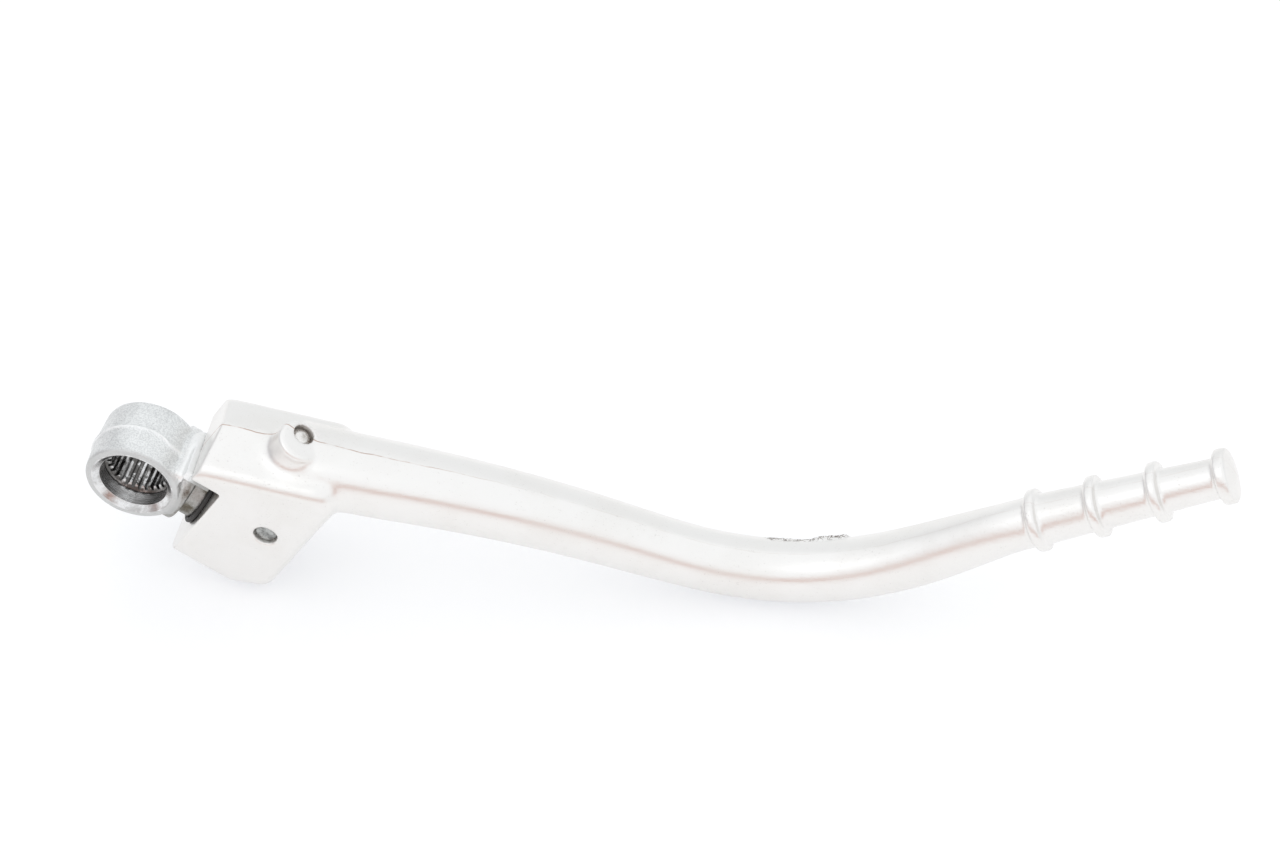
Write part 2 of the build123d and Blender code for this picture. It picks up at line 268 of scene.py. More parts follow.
class NodeSheet:
    """A node tree with short calls for the nodes that the finishes use."""

    def __init__(self, tree: bpy.types.NodeTree) -> None:
        """Takes the tree to draw in."""
        self.tree = tree

    def add(self, kind: str, **settings: object) -> bpy.types.Node:
        """Adds a node.

        Args:
            kind: the node's type name.
            settings: the node's properties.

        Returns:
            The node.
        """
        node = self.tree.nodes.new(kind)
        for key, value in settings.items():
            setattr(node, key, value)
        return node

    def put(self, target: Socket, value: object) -> None:
        """Links a socket to an input, or sets the input to a plain value.

        Args:
            target: the input.
            value: socket or plain value.
        """
        if isinstance(value, Socket):
            self.tree.links.new(value, target)
        else:
            target.default_value = value

    def math(self, operation: str, *values: object, clamp: bool = False) -> Socket:
        """Result of a Math node.

        Args:
            operation: the node's operation.
            values: sockets or numbers for its inputs.
            clamp: whether the result is held between 0 and 1.

        Returns:
            The result's socket.
        """
        node = self.add("ShaderNodeMath", operation=operation, use_clamp=clamp)
        for target, value in zip(node.inputs, values):
            self.put(target, value)
        return node.outputs[0]

    def times(self, first: object, second: object) -> Socket:
        """Product of two sockets or numbers."""
        return self.math("MULTIPLY", first, second)

    def step(self, value: Socket, span: Span, ends: Span = (0.0, 1.0)) -> Socket:
        """Smooth step of a value.

        Args:
            value: socket to step.
            span: where the step starts and ends.
            ends: results below and above the step.

        Returns:
            The result's socket.
        """
        node = self.add("ShaderNodeMapRange", interpolation_type="SMOOTHSTEP")
        for target, item in zip(node.inputs, (value, *span, *ends)):
            self.put(target, item)
        return node.outputs[0]

    def blend(self, share: object, first: object, second: object) -> Socket:
        """Mix of two colours.

        Args:
            share: socket or number, 0 for the first colour and 1 for the second.
            first: socket or colour.
            second: socket or colour.

        Returns:
            The colour's socket.
        """
        node = self.add("ShaderNodeMix", data_type="RGBA")
        factor, first_input, second_input = node.inputs[0], node.inputs[6], node.inputs[7]
        self.put(factor, share)
        for target, colour in ((first_input, first), (second_input, second)):
            plain = not isinstance(colour, Socket)
            self.put(target, (*colour, 1.0) if plain else colour)
        return node.outputs[2]

    def noise(self, vector: Socket, scale: object, detail: float = 2.0, rough: float = 0.5) -> Socket:
        """Value of a noise texture.

        Args:
            vector: socket of the coordinates.
            scale: socket or number.
            detail: the noise's octaves.
            rough: weight of the finer octaves.

        Returns:
            The value's socket.
        """
        node = self.add("ShaderNodeTexNoise")
        self.put(node.inputs["Vector"], vector)
        self.put(node.inputs["Scale"], scale)
        node.inputs["Detail"].default_value = detail
        node.inputs["Roughness"].default_value = rough
        return node.outputs[0]

    def millimetres(self) -> Socket:
        """Coordinates of the object.

        Returns:
            Socket of the coordinates in millimetres.
        """
        place = self.add("ShaderNodeTexCoord")
        scaled = self.add("ShaderNodeVectorMath", operation="SCALE")
        self.put(scaled.inputs[0], place.outputs["Object"])
        scaled.inputs["Scale"].default_value = 1.0 / MM
        return scaled.outputs[0]

    def field(self, name: str) -> Socket:
        """Value of a number stored on the mesh."""
        return self.add("ShaderNodeAttribute", attribute_name=name).outputs["Fac"]

    def axes(self, vector: Socket) -> tuple[Socket, ...]:
        """Parts a vector.

        Args:
            vector: socket of the vector.

        Returns:
            Sockets of its x, y and z.
        """
        node = self.add("ShaderNodeSeparateXYZ")
        self.put(node.inputs[0], vector)
        return tuple(node.outputs)

    def use(self, group: bpy.types.NodeTree, **values: object) -> bpy.types.Node:
        """Places a node group.

        Args:
            group: the group's tree.
            values: sockets or numbers for its inputs, by name with _ for a space.

        Returns:
            The group's node.
        """
        node = self.add("ShaderNodeGroup", node_tree=group)
        for key, value in values.items():
            self.put(node.inputs[key.replace("_", " ")], value)
        return node

    def relief(self, height: Socket, depth: float) -> Socket:
        """Normal of a bumpy surface.

        Args:
            height: socket of the height.
            depth: depth of a height of 1, in millimetres.

        Returns:
            The normal's socket.
        """
        node = self.add("ShaderNodeBump")
        node.inputs["Strength"].default_value = 1.0
        node.inputs["Distance"].default_value = depth * MM
        self.put(node.inputs["Height"], height)
        return node.outputs[0]


def new_group(name: str, inputs: dict[str, str], outputs: tuple[str, ...]) -> tuple[NodeSheet, dict, dict]:
    """Starts a shader node group.

    Args:
        name: the group's name.
        inputs: socket type of each input, by name.
        outputs: names of the outputs, all of them numbers.

    Returns:
        The group's sheet, and its input and output sockets by name.
    """
    tree = bpy.data.node_groups.new(name, "ShaderNodeTree")
    for label, kind in inputs.items():
        tree.interface.new_socket(name=label, in_out="INPUT", socket_type=kind)
    for label in outputs:
        tree.interface.new_socket(name=label, in_out="OUTPUT", socket_type="NodeSocketFloat")
    sheet = NodeSheet(tree)
    entry = sheet.add("NodeGroupInput")
    exit_node = sheet.add("NodeGroupOutput")
    sources = {label: entry.outputs[label] for label in inputs}
    targets = {label: exit_node.inputs[label] for label in outputs}
    return sheet, sources, targets


@dataclass(frozen=True)
class SkinScales:
    """How fine a forged skin is, in cycles per millimetre."""

    grain: float
    cloud: float
    speck: float


class Effects:
    """Surface effects that several finishes share, each built once as a node group."""

    speck_drift: float = 0.12  # how much the clouds gather the specks
    speck_edge: Span = (0.735, 0.80)

    def __init__(self) -> None:
        """Builds the groups."""
        self.skin = self._forged_skin()
        self.lines = self._turned_lines()

    def _forged_skin(self) -> bpy.types.NodeTree:
        """Grain, cloudy patches and dark specks of a forged or blasted skin.

        Returns:
            The group: its scales are cycles per unit of the vector.
        """
        inputs = {
            "Vector": "NodeSocketVector",
            "Grain Scale": "NodeSocketFloat",
            "Cloud Scale": "NodeSocketFloat",
            "Speck Scale": "NodeSocketFloat",
        }
        sheet, source, target = new_group("forged_skin", inputs, ("Grain", "Clouds", "Specks"))
        vector = source["Vector"]
        sheet.put(target["Grain"], sheet.noise(vector, source["Grain Scale"], detail=3.0, rough=0.6))
        sheet.put(target["Clouds"], sheet.noise(vector, source["Cloud Scale"], detail=4.0, rough=0.55))
        spots = sheet.noise(vector, source["Speck Scale"])
        where = sheet.noise(vector, source["Cloud Scale"], detail=1.0)
        spots = sheet.math("ADD", spots, sheet.times(where, self.speck_drift))
        sheet.put(target["Specks"], sheet.step(spots, self.speck_edge))
        return sheet.tree

    def _turned_lines(self) -> bpy.types.NodeTree:
        """Fine tool lines round an axis along Y through the vector's origin.

        Returns:
            The group: Radius is the distance from the axis, Lines the tool marks.
        """
        inputs = {"Vector": "NodeSocketVector", "Pitch": "NodeSocketFloat"}
        sheet, source, target = new_group("turned_lines", inputs, ("Radius", "Lines"))
        x, y, z = sheet.axes(source["Vector"])
        squares = sheet.math("ADD", sheet.times(x, x), sheet.times(z, z))
        radius = sheet.math("SQRT", squares)
        along = sheet.math("DIVIDE", sheet.math("ADD", radius, y), source["Pitch"])
        rings = sheet.add("ShaderNodeTexNoise", noise_dimensions="1D")
        sheet.put(rings.inputs["W"], along)
        rings.inputs["Scale"].default_value = 1.0
        rings.inputs["Detail"].default_value = 2.0
        sheet.put(target["Radius"], radius)
        sheet.put(target["Lines"], rings.outputs[0])
        return sheet.tree

    def skin_on(self, sheet: NodeSheet, place: Socket, scales: SkinScales) -> tuple[Socket, Socket, Socket]:
        """Places the forged skin in a material.

        Args:
            sheet: the material's sheet.
            place: socket of the coordinates, in millimetres.
            scales: how fine the skin is.

        Returns:
            Sockets of its grain, clouds and specks.
        """
        node = sheet.use(
            self.skin,
            Vector=place,
            Grain_Scale=scales.grain,
            Cloud_Scale=scales.cloud,
            Speck_Scale=scales.speck,
        )
        return node.outputs["Grain"], node.outputs["Clouds"], node.outputs["Specks"]


def new_material(name: str) -> tuple[bpy.types.Material, NodeSheet, bpy.types.Node]:
    """Starts a material.

    Args:
        name: the material's name.

    Returns:
        The material, its sheet, and its Principled shader.
    """
    material = bpy.data.materials.new(name)
    material.use_nodes = True
    material.node_tree.nodes.clear()
    sheet = NodeSheet(material.node_tree)
    shader = sheet.add("ShaderNodeBsdfPrincipled")
    surface = sheet.add("ShaderNodeOutputMaterial")
    sheet.put(surface.inputs["Surface"], shader.outputs[0])
    return material, sheet, shader


def paint(piece: Piece, material: bpy.types.Material) -> None:
    """Gives a piece one material and reports it.

    Args:
        piece: the piece.
        material: its material.
    """
    if not piece.material_slots:
        piece.data.materials.append(material)
    for slot in piece.material_slots:
        slot.material = material
    LOG.info("%s: %s", piece.name, material.name)


@dataclass(frozen=True)
class ForgedAluminium:
    """Satin skin of the arm, with its brown parting line, dark specks, trimmed flash and painted shade in the
    plug's well; lengths in mm.
    """

    metal: Colour = (0.868, 0.854, 0.836)
    dull: Colour = (0.85, 0.834, 0.812)
    parting: Colour = (0.46, 0.27, 0.19)
    pit: Colour = (0.22, 0.19, 0.17)
    scales: SkinScales = SkinScales(grain=1.7, cloud=0.07, speck=2.2)
    dull_clouds: Span = (0.42, 0.68)
    rough_clouds: Span = (0.3, 0.75)
    roughness: Span = (0.30, 0.38)
    speck_share: float = 0.16
    speck_depth: float = 0.8
    # strength of the painted shade in the plug's well
    well_shade_share: float = 0.6
    relief_depth: float = 0.045
    line_edge: Span = (0.05, 0.22)  # from the line's middle to its edge
    line_wander: float = 1.1
    wander_scale: float = 0.16
    line_breaks: Span = (0.34, 0.56)
    break_scale: float = 0.22
    broken_line: float = 0.15  # what is left of the line where it breaks
    line_fade: Span = (55.0, 100.0)  # along the arm
    faded_line: float = 0.12
    line_share: float = 0.7
    line_rough: float = 0.2
    line_height: float = 1.2
    tear_scale: float = 0.75
    tear_edge: Span = (0.02, 0.07)

    def make(self, effects: Effects) -> bpy.types.Material:
        """Builds the material.

        Args:
            effects: the shared node groups.

        Returns:
            The material.
        """
        material, sheet, shader = new_material("forged_aluminium")
        place = sheet.millimetres()
        grain, clouds, specks = effects.skin_on(sheet, place, self.scales)
        line = self._line(sheet, place)
        colour = sheet.blend(sheet.step(clouds, self.dull_clouds), self.metal, self.dull)
        colour = sheet.blend(sheet.times(specks, self.speck_share), colour, self.pit)
        colour = sheet.blend(sheet.times(line, self.line_share), colour, self.parting)
        colour = sheet.blend(self._flash(sheet, place), colour, self.pit)
        # painted shade: darkens the arm's wall in the plug's well
        colour = sheet.blend(sheet.times(sheet.field("well"), self.well_shade_share), colour, self.pit)
        sheet.put(shader.inputs["Base Color"], colour)
        rough = sheet.step(clouds, self.rough_clouds, self.roughness)
        rough = sheet.math("ADD", rough, sheet.times(line, self.line_rough))
        sheet.put(shader.inputs["Roughness"], rough)
        shader.inputs["Metallic"].default_value = 1.0
        height = sheet.math("SUBTRACT", grain, sheet.times(specks, self.speck_depth))
        height = sheet.math("ADD", height, sheet.times(line, self.line_height))
        sheet.put(shader.inputs["Normal"], sheet.relief(height, self.relief_depth))
        return material

    def _line(self, sheet: NodeSheet, place: Socket) -> Socket:
        """Parting line, wandering, broken in places and faded along the arm.

        Args:
            sheet: the material's sheet.
            place: socket of the coordinates.

        Returns:
            Socket of a mask from 0 to 1.
        """
        wander = sheet.math("SUBTRACT", sheet.noise(place, self.wander_scale), 0.5)
        offset = sheet.math("ADD", sheet.field("parting"), sheet.times(wander, self.line_wander))
        line = sheet.step(sheet.math("ABSOLUTE", offset), self.line_edge, FALLING)
        breaks = sheet.noise(place, self.break_scale, detail=3.0)
        whole = sheet.step(breaks, self.line_breaks, (self.broken_line, 1.0))
        along, _, _ = sheet.axes(place)
        strong = sheet.step(along, self.line_fade, (1.0, self.faded_line))
        return sheet.times(sheet.times(line, whole), strong)

    def _flash(self, sheet: NodeSheet, place: Socket) -> Socket:
        """Dark outlines of the torn flash.

        Args:
            sheet: the material's sheet.
            place: socket of the coordinates.

        Returns:
            Socket of a mask from 0 to 1.
        """
        tear = sheet.math("SUBTRACT", sheet.noise(place, self.tear_scale, detail=1.0), 0.5)
        outlines = sheet.step(sheet.math("ABSOLUTE", tear), self.tear_edge, FALLING)
        return sheet.times(sheet.field("flash"), outlines)


@dataclass(frozen=True)
class ForgedSteel:
    """Grey grainy skin of the joint piece, with pores, a bright trimmed ridge, painted highlights on the
    ridge and the flange, and oil with painted shade on the root.
    """

    metal: Colour = (0.86, 0.868, 0.862)
    dark: Colour = (0.46, 0.468, 0.468)
    pit: Colour = (0.16, 0.155, 0.15)
    # bright colour: bare trimmed metal on the ridge, and a painted highlight on the ridge and on the flange
    trimmed: Colour = (0.95, 0.95, 0.945)
    # dark colour: oil with painted shade on the shank's root, between the ring's neck and the head
    oil_and_shade: Colour = (0.125, 0.11, 0.085)
    faced: Colour = (0.55, 0.55, 0.545)
    scales: SkinScales = SkinScales(grain=2.3, cloud=0.16, speck=1.9)
    pore_grain: Span = (0.40, 0.60)
    pore_ends: Span = (0.8, 0.0)
    pore_share: float = 0.5
    patch_clouds: Span = (0.4, 0.75)
    patch_ends: Span = (0.0, 0.3)
    speck_share: float = 0.5
    ridge_share: float = 0.9
    flange_highlight_share: float = 0.75
    mouth_share: float = 0.7
    wet_clouds: Span = (0.38, 0.60)
    wet_ends: Span = (1.0, 0.5)
    wet_gloss: float = 0.14
    rough_grain: Span = (0.35, 0.7)
    roughness: Span = (0.36, 0.52)
    relief_depth: float = 0.12

    def make(self, effects: Effects) -> bpy.types.Material:
        """Builds the material.

        Args:
            effects: the shared node groups.

        Returns:
            The material.
        """
        material, sheet, shader = new_material("forged_steel")
        grain, clouds, specks = effects.skin_on(sheet, sheet.millimetres(), self.scales)
        pores = sheet.step(grain, self.pore_grain, self.pore_ends)
        patches = sheet.step(clouds, self.patch_clouds, self.patch_ends)
        share = sheet.math("MULTIPLY_ADD", pores, self.pore_share, patches, clamp=True)
        # oil and painted shade on the shank's root, where it runs into the head's notch
        wet_and_shade = sheet.times(sheet.field("root"), sheet.step(clouds, self.wet_clouds, self.wet_ends))
        colour = sheet.blend(share, self.metal, self.dark)
        colour = sheet.blend(sheet.times(specks, self.speck_share), colour, self.pit)
        # painted highlight along the ring's trimmed ridge, over its bare metal
        colour = sheet.blend(sheet.times(sheet.field("ridge"), self.ridge_share), colour, self.trimmed)
        # painted highlight on the neck's flange
        colour = sheet.blend(sheet.times(sheet.field("flange"), self.flange_highlight_share), colour, self.trimmed)
        colour = sheet.blend(wet_and_shade, colour, self.oil_and_shade)
        colour = sheet.blend(sheet.times(sheet.field("mouth"), self.mouth_share), colour, self.faced)
        sheet.put(shader.inputs["Base Color"], colour)
        rough = sheet.step(grain, self.rough_grain, self.roughness)
        rough = sheet.math("SUBTRACT", rough, sheet.times(wet_and_shade, self.wet_gloss))
        sheet.put(shader.inputs["Roughness"], rough)
        shader.inputs["Metallic"].default_value = 1.0
        sheet.put(shader.inputs["Normal"], sheet.relief(grain, self.relief_depth))
        return material


@dataclass(frozen=True)
class TurnedSteel:
    """Bright turned mouth of the bore, with oil smeared on its teeth and painted shade with oil between them;
    lengths in mm.
    """

    bright: Colour = (0.78, 0.78, 0.78)
    worn: Colour = (0.50, 0.49, 0.485)
    # dark colour: oil smears on the lands, and painted shade with oil in the roots between the teeth
    oil_and_shade: Colour = (0.07, 0.065, 0.06)
    scales: SkinScales = SkinScales(grain=1.4, cloud=0.35, speck=1.3)
    worn_clouds: Span = (0.35, 0.65)
    line_pitch: float = 0.14
    line_relief: float = 0.02
    rough_lines: Span = (0.3, 0.7)
    roughness: Span = (0.16, 0.3)
    oil_start: Span = (-4.1, -3.3)  # along Y, at the step before the teeth
    oil_end: Span = (8.0, 8.55)  # along Y, before the back face
    flank: Span = (7.4, 8.1)  # radius of the teeth's lands and of their roots
    smear_scale: float = 0.42
    smear_detail: float = 4.0
    smear_rough: float = 0.7
    stain_edge: Span = (0.47, 0.57)
    root_edge: Span = (0.40, 0.52)
    root_ends: Span = (0.55, 1.0)
    oil_and_shade_share: float = 0.9

    def make(self, effects: Effects) -> bpy.types.Material:
        """Builds the material.

        Args:
            effects: the shared node groups.

        Returns:
            The material.
        """
        material, sheet, shader = new_material("turned_steel")
        place = sheet.millimetres()
        _, clouds, _ = effects.skin_on(sheet, place, self.scales)
        turned = sheet.use(effects.lines, Vector=place, Pitch=self.line_pitch)
        oil = self._oil_and_root_shade(sheet, place, turned.outputs["Radius"])
        colour = sheet.blend(sheet.step(clouds, self.worn_clouds), self.bright, self.worn)
        colour = sheet.blend(sheet.times(oil, self.oil_and_shade_share), colour, self.oil_and_shade)
        sheet.put(shader.inputs["Base Color"], colour)
        rough = sheet.step(turned.outputs["Lines"], self.rough_lines, self.roughness)
        sheet.put(shader.inputs["Roughness"], rough)
        shader.inputs["Metallic"].default_value = 1.0
        sheet.put(shader.inputs["Normal"], sheet.relief(turned.outputs["Lines"], self.line_relief))
        return material

    def _oil_and_root_shade(self, sheet: NodeSheet, place: Socket, radius: Socket) -> Socket:
        """Oil and painted shade over the toothed length: painted shade with oil in the roots between the
        teeth, and oil smears on the lands.

        Args:
            sheet: the material's sheet.
            place: socket of the coordinates.
            radius: socket of the distance from the bore's axis.

        Returns:
            Socket of a mask from 0 to 1.
        """
        _, y, _ = sheet.axes(place)
        smears = sheet.noise(place, self.smear_scale, self.smear_detail, self.smear_rough)
        # painted shade in the roots between the teeth, broken up by the oil smears
        roots = sheet.step(radius, self.flank)
        roots = sheet.times(roots, sheet.step(smears, self.root_edge, self.root_ends))
        oil = sheet.math("MAXIMUM", roots, sheet.step(smears, self.stain_edge))
        oil = sheet.times(sheet.step(y, self.oil_start), oil)
        return sheet.times(oil, sheet.step(y, self.oil_end, FALLING))


@dataclass(frozen=True)
class PlainSteel:
    """Steel of the small parts, from a dark pin to a polished ball."""

    name: str
    metal: Colour
    tarnish: Colour
    roughness: float
    scales: SkinScales = SkinScales(grain=2.2, cloud=0.5, speck=1.8)
    tarnish_clouds: Span = (0.4, 0.7)
    speck_share: float = 0.5
    rough_grain: Span = (0.3, 0.7)
    rough_shares: Span = (0.8, 1.3)  # of the roughness, where the grain is low and high
    relief_depth: float = 0.012

    def make(self, effects: Effects) -> bpy.types.Material:
        """Builds the material.

        Args:
            effects: the shared node groups.

        Returns:
            The material.
        """
        material, sheet, shader = new_material(self.name)
        grain, clouds, specks = effects.skin_on(sheet, sheet.millimetres(), self.scales)
        colour = sheet.blend(sheet.step(clouds, self.tarnish_clouds), self.metal, self.tarnish)
        colour = sheet.blend(sheet.times(specks, self.speck_share), colour, self.tarnish)
        sheet.put(shader.inputs["Base Color"], colour)
        low, high = self.rough_shares
        rough = sheet.step(grain, self.rough_grain, (self.roughness * low, self.roughness * high))
        sheet.put(shader.inputs["Roughness"], rough)
        shader.inputs["Metallic"].default_value = 1.0
        sheet.put(shader.inputs["Normal"], sheet.relief(grain, self.relief_depth))
        return material


@dataclass(frozen=True)
class BlackRubber:
    """Matt rubber of the seal, dusty in patches."""

    rubber: Colour = (0.018, 0.018, 0.019)
    dust: Colour = (0.06, 0.058, 0.055)
    scales: SkinScales = SkinScales(grain=3.0, cloud=0.3, speck=2.0)
    rough_grain: Span = (0.3, 0.7)
    roughness: Span = (0.45, 0.65)
    relief_depth: float = 0.02

    def make(self, effects: Effects) -> bpy.types.Material:
        """Builds the material.

        Args:
            effects: the shared node groups.

        Returns:
            The material.
        """
        material, sheet, shader = new_material("black_rubber")
        grain, clouds, _ = effects.skin_on(sheet, sheet.millimetres(), self.scales)
        sheet.put(shader.inputs["Base Color"], sheet.blend(clouds, self.rubber, self.dust))
        sheet.put(shader.inputs["Roughness"], sheet.step(grain, self.rough_grain, self.roughness))
        sheet.put(shader.inputs["Normal"], sheet.relief(grain, self.relief_depth))
        return material


@dataclass
class KickArm:
    """Forged arm: head with its boss, cranked arm and ribbed pedal; lengths in mm."""

    finish: ForgedAluminium = ForgedAluminium()
    fold: FoldFrame = field(default_factory=FoldFrame)
    voxel: float = 0.45
    kept_share: float = 0.69  # of the faces, when the mesh is thinned
    edge_passes: int = 5

    head_end: float = 10.2
    head_end_reach: Span = (1.5, 4.0)
    head_end_height: Span = (17.0, 20.0)
    head_end_passes: int = 40
    hub_start: float = 18.5
    hub_end: float = 44.3
    junction_reach: Span = (2.0, 9.0)
    junction_height: Span = (2.0, 14.0)
    junction_passes: int = 90
    arm_start: float = 62.0
    arm_end: float = 214.0
    arm_fade: float = 8.0
    arm_passes: int = 14

    bore_radius: float = 9.05
    bore_margin: float = 0.5
    bore_mouth: float = 1.0  # length at the bore's mouth that keeps its size
    bore_room: float = 0.12

    boss_place: float = 27.8
    boss_shift: float = -2.2
    boss_radius: float = 5.9
    boss_rim: float = 35.2
    boss_edge: float = 1.0
    foot_reach: Span = (8.0, 11.0)
    foot_height: Span = (24.0, 27.0)
    foot_passes: int = 150
    well_radius: float = 2.6
    well_edge: float = 0.35
    well_height: Span = (28.0, 30.0)

    parting_line: tuple[Span, ...] = (
        (-20.0, 2.5),
        (46.0, 2.5),
        (57.0, 2.3),
        (75.9, 4.5),
        (96.8, 8.0),
        (117.6, 11.9),
        (139.5, 15.3),
        (159.6, 17.7),
        (176.4, 19.0),
        (191.5, 20.0),
        (204.9, 20.7),
        (223.1, 22.0),
        (266.6, 26.0),
    )
    flash_start: Place = (157.0, 25.0, -20.2)
    flash_end: Place = (174.5, 26.6, -17.6)
    flash_reach: Span = (0.9, 2.6)
    flash_grain: float = 1.3
    flash_octaves: int = 2
    flash_depth: float = 0.9
    flash_level: float = 0.45  # value of the texture that leaves the skin where it is
    proud_start: Span = (166.5, 169.5)  # along X
    proud_height: float = 0.65

    def build(self) -> Piece:
        """Models the arm's skin over a copy of its solid.

        Returns:
            The finished piece.
        """
        piece = merged_copy(Node.KICK_ARM, "forged_arm")
        remesh(piece, self.voxel)
        self._soften(piece)
        self._ream(piece)
        self._leave_flash(piece)
        apply_modifier(piece, "DECIMATE", ratio=self.kept_share)
        self._store_fields(piece)
        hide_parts(Node.KICK_ARM.value)
        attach(piece, Body.LEVER.value)
        return piece

    def dress(self, piece: Piece, effects: Effects) -> None:
        """Gives the arm its finish.

        Args:
            piece: the finished piece.
            effects: the shared node groups.
        """
        paint(piece, self.finish.make(effects))

    def _soften(self, piece: Piece) -> None:
        """Rounds the forged edges and runs the head, boss and arm into each other.

        Args:
            piece: the active piece.
        """
        points = points_of(piece)
        x = points[:, 0]
        u, y, w = self.fold.coordinates(points)
        arm = rise(x, self.arm_start, self.arm_start + self.arm_fade)
        arm = arm * fall(x, self.arm_end - self.arm_fade, self.arm_end)
        junction = fall(np.abs(u - self.hub_end), *self.junction_reach) * rise(w, *self.junction_height)
        from_boss = np.hypot(u - self.boss_place, y - self.boss_shift)
        foot = rise(from_boss, self.boss_radius - self.boss_edge, self.boss_radius)
        foot = foot * fall(from_boss, *self.foot_reach)
        foot = foot * rise(w, *self.foot_height) * fall(w, self.boss_rim - self.boss_edge, self.boss_rim)
        near, far = self.head_end_reach
        end = fall(u, self.head_end + near, self.head_end + far) * rise(w, *self.head_end_height)
        smooth(piece, "all_over", np.ones(len(points)), self.edge_passes)
        smooth(piece, "arm", arm, self.arm_passes)
        smooth(piece, "junction", junction, self.junction_passes)
        smooth(piece, "boss_foot", foot, self.foot_passes)
        smooth(piece, "head_end", end, self.head_end_passes)

    def _ream(self, piece: Piece) -> None:
        """Gives the shank a little more room in its bore than the remeshed wall leaves.

        Args:
            piece: the active piece.
        """
        u, y, w = self.fold.coordinates(points_of(piece))
        wall = np.hypot(y, w) < self.bore_radius + self.bore_margin
        wall = wall & (u > self.hub_start + self.bore_mouth) & (u < self.hub_end)
        swell(piece, "bore_wall", wall.astype(float), -self.bore_room)

    def _flash_share(self, points: np.ndarray) -> np.ndarray:
        """How far each point lies in the strip where flash was trimmed off.

        Args:
            points: rows of x, y and z in millimetres.

        Returns:
            Numbers from 0 to 1.
        """
        start, end = np.array(self.flash_start), np.array(self.flash_end)
        along = end - start
        place = np.clip((points - start) @ along / (along @ along), 0.0, 1.0)
        away = np.linalg.norm(points - (start + place[:, None] * along), axis=1)
        return fall(away, *self.flash_reach)

    def _leave_flash(self, piece: Piece) -> None:
        """Roughens the strip of trimmed flash behind the bend and leaves its far end proud.

        Args:
            piece: the active piece.
        """
        texture = bpy.data.textures.new("flash_tear", "CLOUDS")
        texture.noise_scale = self.flash_grain * MM
        texture.noise_depth = self.flash_octaves
        points = points_of(piece)
        share = self._flash_share(points)
        swell(
            piece,
            "torn",
            share,
            self.flash_depth,
            mid_level=self.flash_level,
            texture=texture,
            texture_coords="LOCAL",
        )
        swell(piece, "proud", share * rise(points[:, 0], *self.proud_start), self.proud_height)

    def _store_fields(self, piece: Piece) -> None:
        """Stores the distance from the parting line, the flash, and the plug's well that the finish darkens
        with painted shade.

        Args:
            piece: the active piece.
        """
        piece.vertex_groups.clear()
        points = points_of(piece)
        line = np.array(self.parting_line)
        u, y, w = self.fold.coordinates(points)
        # painted shade in the plug's well: round the boss's axis, near the boss's top
        well = fall(np.hypot(u - self.boss_place, y), self.well_radius, self.well_radius + self.well_edge)
        keep_field(piece, "parting", points[:, 1] - np.interp(points[:, 0], line[:, 0], line[:, 1]))
        keep_field(piece, "flash", self._flash_share(points))
        keep_field(piece, "well", well * rise(w, *self.well_height))


